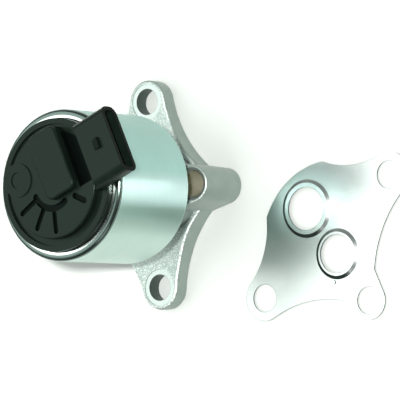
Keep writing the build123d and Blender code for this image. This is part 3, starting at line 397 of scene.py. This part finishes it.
# Painted shade on the bead slopes that lean towards -X and -Y, and a painted highlight on those
# that lean the other way
shade_way = (-0.77, -0.64, 0)
surface = node(tree, "NewGeometry", output="Normal")
turned_away = node(tree, "VectorMath", surface, shade_way, operation="DOT_PRODUCT")
painted_slope_shade = node(tree, "MapRange", turned_away, 0.03, 0.15)
tone = node(tree, "Mix", painted_slope_shade, tone, "#59645F", data_type="RGBA")
painted_slope_highlight = node(tree, "MapRange", turned_away, -0.3, -0.1, 1, 0)
tone = node(tree, "Mix", painted_slope_highlight, tone, "#FAFFFC", data_type="RGBA")
# Near-upright cut faces are darkened, partly for the burr and partly as painted shade
cut_face = node(tree, "SeparateXYZ", surface, output="Z")
cut_face = node(tree, "MapRange", cut_face, 0.2, 0.3, 1, 0)
tone = node(tree, "Mix", cut_face, tone, "#818A87", data_type="RGBA")

# The shears roll the edge over by 0.1 mm, drawn at 0.4 mm so that it shows
edge_width = 0.0004
# A dark line along the rounded edge, partly the burr and partly painted shade
burr_and_edge_shade = node(tree, "Bevel", edge_width, samples=8)
burr_and_edge_shade = node(tree, "SeparateXYZ", burr_and_edge_shade, output="Z")
burr_and_edge_shade = node(tree, "MapRange", burr_and_edge_shade, 0.75, 0.97, 1, 0)
tone = node(tree, "Mix", burr_and_edge_shade, tone, "#4E5855", data_type="RGBA")
rough = node(tree, "MapRange", rolled, 0.3, 0.7, 0.235, 0.27)

# The rolling lines and the tilt are both heights in metres, so the relief's depth is a metre
lines_depth = 2e-7
tilt = (0, -0.01, 0)
uneven = node(tree, "TexCoord", output="Object")
uneven = node(tree, "VectorMath", uneven, tilt, operation="DOT_PRODUCT")
uneven = node(tree, "Math", rolled, lines_depth, uneven, operation="MULTIPLY_ADD")
finish(tree, shader, tone, rough, metallic=1.0, relief=uneven, depth=1000, strength=1.0)
dress(cad["flange_gasket"], stainless)

# Seat, pintle, bushing and the ring on the shaft: tool steel, hardened and ground, which leaves
# fine lines along the turn. The seat is pressed into the floor of the casting's chamber.
tool_steel, tree, shader = new_material("ground_tool_steel")
ground = grain(tree, 0.25, (0.03, 0.03, 1))
tone = node(tree, "Mix", grain(tree, 5), "#7D7B78", "#8F8E8C", data_type="RGBA")
rough = node(tree, "MapRange", ground, 0.3, 0.7, 0.2, 0.34)
finish(tree, shader, tone, rough, metallic=1.0, relief=ground, depth=0.02, strength=0.3)
for name in ("valve_seat", "pintle", "shaft_bushing", "armature_ring"):
    dress(cad[name], tool_steel)

# The soot shield: a cup pressed from heat-resisting sheet, which keeps soot out of the bushing.
# The hot gas has blued it in clouds of a few millimetres.
blued_sheet, tree, shader = new_material("pressed_heat_resisting_steel")
pressed = grain(tree, 0.8)
clouds = node(tree, "MapRange", grain(tree, 4), 0.35, 0.65)
tone = node(tree, "Mix", clouds, "#8B8275", "#6D7480", data_type="RGBA")
rough = node(tree, "MapRange", pressed, 0.3, 0.7, 0.3, 0.45)
finish(tree, shader, tone, rough, metallic=1.0, relief=pressed, depth=0.03, strength=0.3)
dress(cad["soot_shield"], blued_sheet)

# The spacer: glass-filled phenolic, pressed in a hot mould, between the casting and the can to
# keep the heat from the coil. Short pale fibres show in its dark brown.
phenolic, tree, shader = new_material("pressed_glass_filled_phenolic")
fibre = node(tree, "MapRange", grain(tree, 0.4, (1, 0.2, 1), detail=1), 0.6, 0.72, 0, 0.3)
tone = node(tree, "Mix", grain(tree, 5), "#2B231D", "#382E26", data_type="RGBA")
tone = node(tree, "Mix", fibre, tone, "#7C6C58", data_type="RGBA")
pressed = grain(tree, 0.4, detail=2)
finish(tree, shader, tone, 0.55, metallic=0.0, relief=pressed, depth=0.03, strength=0.4)
dress(cad["insulating_spacer"], phenolic)

# The screws: cold-headed steel with rolled threads, zinc plated and passivated yellow. Their
# heads sit in the lower pole plate, and they go down through can and spacer into the casting.
screw_steel, tree, shader = new_material("zinc_plated_screw_steel")
rolled = grain(tree, 0.3, (1, 1, 0.1))
tone = node(tree, "Mix", grain(tree, 3), "#A09A78", "#B7B59C", data_type="RGBA")
rough = node(tree, "MapRange", rolled, 0.3, 0.7, 0.26, 0.4)
finish(tree, shader, tone, rough, metallic=1.0, relief=rolled, depth=0.02, strength=0.3)
dress(cad["can_screws"], screw_steel)

# Pole plates and armature: soft iron, turned on a lathe and left bare, so that the feed of the
# tool, 0.3 mm a turn, shows as rings on the faces and as rounds on the sides.
soft_iron, tree, shader = new_material("turned_soft_iron")
feed = 0.0003
rings = node(tree, "Math", off_axis(tree, 0, 0), height(tree), operation="ADD")
rings = node(tree, "Math", rings, 2 * np.pi / feed, operation="MULTIPLY")
rings = node(tree, "Math", rings, operation="SINE")
tone = node(tree, "Mix", grain(tree, 6), "#6A6865", "#7E7D7B", data_type="RGBA")
rough = node(tree, "MapRange", grain(tree, 1.5), 0.3, 0.7, 0.3, 0.44)
finish(tree, shader, tone, rough, metallic=1.0, relief=rings, depth=0.008, strength=0.5)
for name in ("lower_pole", "upper_pole", "armature"):
    dress(cad[name], soft_iron)

# The sleeve: thin brass tube, drawn along its length, which leaves faint straight lines. It is
# held by the pole plates, and the armature slides in it.
drawn_brass, tree, shader = new_material("drawn_brass_tube")
drawn = grain(tree, 0.2, (1, 1, 0.02))
tone = node(tree, "Mix", grain(tree, 6), "#B08A45", "#C7A35A", data_type="RGBA")
rough = node(tree, "MapRange", drawn, 0.3, 0.7, 0.22, 0.36)
finish(tree, shader, tone, rough, metallic=1.0, relief=drawn, depth=0.02, strength=0.25)
dress(cad["guide_sleeve"], drawn_brass)

# The bobbin: natural glass-filled nylon, an off-white moulding with a matt, faintly grained
# skin. It stands round the sleeve, between the pole plates.
pale_nylon, tree, shader = new_material("moulded_natural_nylon")
tone = node(tree, "Mix", grain(tree, 5), "#CFC6AE", "#DAD3BE", data_type="RGBA")
rough = node(tree, "MapRange", grain(tree, 1.2), 0.3, 0.7, 0.42, 0.55)
moulded = grain(tree, 0.4, detail=2)
finish(tree, shader, tone, rough, metallic=0.0, relief=moulded, depth=0.02, strength=0.35)
dress(cad["bobbin"], pale_nylon)

# The winding: enamelled copper wire, laid turn on turn on the bobbin. Each turn of the top
# layer shows as a round, under a clear and glossy enamel.
wire_d = 0.0006
coil_low, coil_high = (np.array(corner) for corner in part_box("coil"))
coil_r = coil_high[0]
coil_bore_r = 0.0126
turn_count = int((coil_high[2] - coil_low[2]) / wire_d)
wire_r = (coil_high[2] - coil_low[2]) / turn_count / 2
winding_outline = [(coil_bore_r, coil_low[2])]
for turn in range(turn_count):
    middle = (coil_r - wire_r, coil_low[2] + (2 * turn + 1) * wire_r)
    winding_outline.extend(arc(middle, wire_r, -85, 85, steps=7))
winding_outline.append((coil_bore_r, coil_high[2]))
winding = revolve("coil_winding", winding_outline, facets=128)
enamel, tree, shader = new_material("enamelled_copper_wire")
strands = grain(tree, 1.5, (0.1, 0.1, 1))
tone = node(tree, "Mix", strands, "#8E3F1C", "#B05A2B", data_type="RGBA")
rough = node(tree, "MapRange", grain(tree, 0.5), 0.3, 0.7, 0.2, 0.32)
finish(tree, shader, tone, rough, metallic=0.9, relief=grain(tree, 0.2), depth=0.01, strength=0.3)
shader.inputs["Coat Weight"].default_value = 0.6
dress(winding, enamel)
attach(winding, "valve")
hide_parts("coil")


# The springs: patented steel wire, cold drawn, which leaves fine lines along it, and coiled with
# a closed turn at each end. In the valve the top end stands still and the foot goes up with the
# shaft; here each spring is drawn as it stands and moves with the valve's body.
def coil_wire(name, low_z, high_z, middle_r, wire_r, turns):
    """A round wire on a helix. The path is (R cos a, R sin a, z), where z gains a little more
    than a wire's width over the first and the last turn and the rest evenly between them. Round
    each point lies the circle wire_r (cos b outward + sin b upward), square to the path."""
    angle = np.linspace(0, 2 * np.pi * turns, 48 * turns + 1)
    closed = 2.15 * wire_r
    first_z, last_z = low_z + wire_r, high_z - wire_r
    rise = [first_z, first_z + closed, last_z - closed, last_z]
    height = np.interp(angle / (2 * np.pi), [0, 1, turns - 1, turns], rise)
    flat = np.zeros_like(angle)
    outward = np.stack([np.cos(angle), np.sin(angle), flat], axis=-1)
    path = outward * middle_r + np.stack([flat, flat, height], axis=-1)
    upward = np.cross(outward, np.gradient(path, axis=0))
    upward /= np.linalg.norm(upward, axis=1, keepdims=True)
    sides = 12
    turned = np.linspace(0, 2 * np.pi, sides, endpoint=False)[None, :, None]
    rim = np.cos(turned) * outward[:, None] + np.sin(turned) * upward[:, None]
    points = path[:, None] + wire_r * rim
    step, side = np.meshgrid(np.arange(len(angle) - 1), np.arange(sides), indexing="ij")
    next_step, next_side = step + 1, (side + 1) % sides
    corners = [(step, side), (next_step, side), (next_step, next_side), (step, next_side)]
    quads = np.stack([at_step * sides + at_side for at_step, at_side in corners], axis=-1)
    last = (len(angle) - 1) * sides
    ends = [list(range(sides)), list(range(last + sides - 1, last - 1, -1))]
    mesh = bpy.data.meshes.new(name)
    mesh.from_pydata(points.reshape(-1, 3).tolist(), [], quads.reshape(-1, 4).tolist() + ends)
    mesh.polygons.foreach_set("use_smooth", np.ones(len(mesh.polygons), bool))
    mesh.set_sharp_from_angle(angle=radians(50))
    made = bpy.data.objects.new(name, mesh)
    scene.collection.objects.link(made)
    return made


spring_wire, tree, shader = new_material("drawn_spring_steel_wire")
drawn = grain(tree, 0.15, (0.1, 0.1, 1))
tone = node(tree, "Mix", grain(tree, 2), "#7B7D80", "#93959A", data_type="RGBA")
rough = node(tree, "MapRange", drawn, 0.3, 0.7, 0.24, 0.36)
finish(tree, shader, tone, rough, metallic=1.0, relief=drawn, depth=0.01, strength=0.3)
springs = [
    ("return_spring", "pintle_lift", 0.0046, 0.0004, 5),
    ("sensor_spring", "plunger_follow", 0.0023, 0.00018, 4),
]
for name, joint, middle_r, wire_r, turns in springs:
    low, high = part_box(name)
    spring = coil_wire(f"{name}_wire", low[2], high[2], middle_r, wire_r, turns)
    dress(spring, spring_wire)
    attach(spring, "valve")
    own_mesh(spring)
    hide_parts(name)

# The seal: a ring of nitrile rubber, moulded in black, that lies on the upper pole plate under
# the cap's foot. It is matt and slightly dusty.
nitrile, tree, shader = new_material("moulded_nitrile_rubber")
dust = grain(tree, 1.5)
tone = node(tree, "Mix", dust, "#151515", "#232322", data_type="RGBA")
rough = node(tree, "MapRange", dust, 0.3, 0.7, 0.6, 0.78)
finish(tree, shader, tone, rough, metallic=0.0, relief=grain(tree, 0.3), depth=0.02, strength=0.4)
dress(cad["cap_seal"], nitrile)

# Terminals, wiper and coil pins: brass, stamped, bent and tin plated. The plate is grey, and is
# worn through to the brass in places.
tinned_brass, tree, shader = new_material("stamped_tinned_brass")
wear = node(tree, "MapRange", grain(tree, 1.2), 0.55, 0.68, 0, 0.5)
tone = node(tree, "Mix", wear, "#B9B8B0", "#B08D4C", data_type="RGBA")
rough = node(tree, "MapRange", grain(tree, 0.4), 0.3, 0.7, 0.24, 0.38)
stamped = grain(tree, 0.2, (1, 0.1, 1))
finish(tree, shader, tone, rough, metallic=1.0, relief=stamped, depth=0.01, strength=0.3)
for name in ("terminals", "wiper", "coil_terminals"):
    dress(cad[name], tinned_brass)

# The plunger and its guide: natural acetal, moulded smooth so that it slides dry. It is a milky
# white that lets a little light in.
acetal, tree, shader = new_material("moulded_white_acetal")
tone = node(tree, "Mix", grain(tree, 4), "#E2E2DC", "#EDEDE8", data_type="RGBA")
rough = node(tree, "MapRange", grain(tree, 0.8), 0.3, 0.7, 0.28, 0.38)
finish(tree, shader, tone, rough, metallic=0.0, relief=grain(tree, 0.5), depth=0.01, strength=0.3)
shader.inputs["Subsurface Weight"].default_value = 0.1
shader.inputs["Subsurface Scale"].default_value = 0.001
for name in ("sensor_plunger", "plunger_guide"):
    dress(cad[name], acetal)

# The board: glass cloth in epoxy under a green solder mask, standing on edge in the cap between
# the wiper and the terminals. The cloth's threads, 0.4 mm apart, show faintly through the mask.
solder_mask, tree, shader = new_material("glass_epoxy_solder_mask")
warp = grain(tree, 0.4, (1, 1, 0.1), detail=1)
weft = grain(tree, 0.4, (0.1, 0.1, 1), detail=1)
weave = node(tree, "Math", warp, weft, operation="MULTIPLY")
threads = node(tree, "MapRange", weave, 0.2, 0.3)
tone = node(tree, "Mix", threads, "#0E4A2C", "#17603B", data_type="RGBA")
finish(tree, shader, tone, 0.3, metallic=0.0, relief=weave, depth=0.02, strength=0.4)
dress(cad["sensor_board"], solder_mask)
